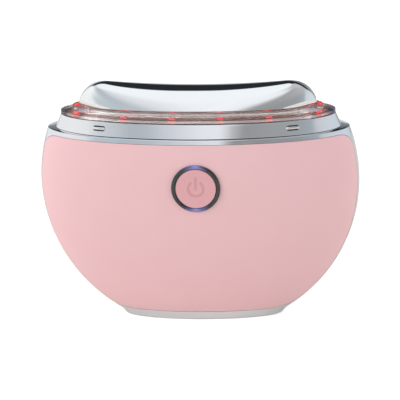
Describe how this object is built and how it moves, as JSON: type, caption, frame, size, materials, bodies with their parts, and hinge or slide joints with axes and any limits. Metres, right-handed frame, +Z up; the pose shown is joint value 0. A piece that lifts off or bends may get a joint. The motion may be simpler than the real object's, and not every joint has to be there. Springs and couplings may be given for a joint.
{
  "type": "led gua sha tool",
  "caption": "Palm-held facial massager: rounded shell cut flat at the base, chrome collar, lit lens ring and a dished chrome scraping head, with a power button in the front.",
  "frame": {"origin": "middle of the flat base, on the surface that the tool stands on", "axes": "+Z up from the base to the scraping head, -Y towards the front with the power button, +X to the right seen from the front"},
  "size_m": [0.086, 0.0289, 0.0658],
  "materials": {
    "panel_pink": "satin lacquered ABS",
    "frame_chrome": "satin chrome-plated ABS",
    "collar_chrome": "bright chrome-plated ABS",
    "lens_clear": "clear ribbed polycarbonate",
    "head_steel": "mirror-polished zinc alloy",
    "seal_silicone": "translucent silicone",
    "film_amber": "polyimide film",
    "sensor_black": "epoxy bead",
    "deck_grey": "moulded nylon",
    "board_red": "solder mask",
    "led_red": "epoxy LED",
    "chassis_white": "moulded ABS",
    "board_green": "solder mask",
    "chip_black": "moulded epoxy",
    "inductor_grey": "ferrite",
    "connector_ivory": "nylon",
    "switch_black": "moulded nylon",
    "bezel_dark": "dark chrome",
    "button_pink": "satin lacquered ABS",
    "icon_pink": "moulded ABS",
    "cell_blue": "film-wrapped pouch cell",
    "foam_grey": "foam tape",
    "motor_steel": "plated steel can",
    "boot_black": "moulded rubber",
    "shaft_steel": "ground steel",
    "weight_brass": "sintered alloy",
    "socket_steel": "stamped steel shell",
    "screw_steel": "zinc-plated steel"
  },
  "bodies": {
    "housing": {"mid_frame": "frame_chrome", "front_panel": "panel_pink", "rear_panel": "panel_pink", "upper_collar": "collar_chrome", "lens_ring": "lens_clear", "head_shell": "head_steel", "head_gasket": "seal_silicone", "heater_film": "film_amber", "thermistor": "sensor_black", "deck": "deck_grey", "led_board": "board_red", "red_leds": "led_red", "chassis": "chassis_white", "main_board": "board_green", "control_chip": "chip_black", "charge_chip": "chip_black", "power_inductor": "inductor_grey", "board_connectors": "connector_ivory", "tact_switch": "switch_black", "button_bezel": "bezel_dark", "battery": "cell_blue", "battery_pad": "foam_grey", "motor_can": "motor_steel", "motor_boot": "boot_black", "usb_board": "board_green", "usb_socket": "socket_steel", "usb_tongue": "chip_black", "head_screws": "screw_steel", "deck_screws": "screw_steel", "board_screws": "screw_steel", "usb_board_screws": "screw_steel", "frame_screws": "screw_steel"},
    "button": {"power_button": "button_pink", "power_icon": "icon_pink"},
    "plunger": {"switch_plunger": "switch_black"},
    "rotor": {"motor_shaft": "shaft_steel", "motor_weight": "weight_brass"}
  },
  "joints": [
    {"name": "button_press", "type": "slide", "parent": "housing", "child": "button", "axis": [0, 1, 0], "range_m": [0, 0.0004], "stiffness_N_per_m": 2500},
    {"name": "plunger_press", "type": "slide", "parent": "housing", "child": "plunger", "axis": [0, 1, 0], "range_m": [0, 0.0006]},
    {"name": "motor_spin", "type": "hinge", "parent": "housing", "child": "rotor", "pos_m": [0, 0.005, 0.0472], "axis": [1, 0, 0], "continuous": true}
  ],
  "couplings": [
    {"joint": "plunger_press", "follows": "button_press", "ratio": 1}
  ]
}
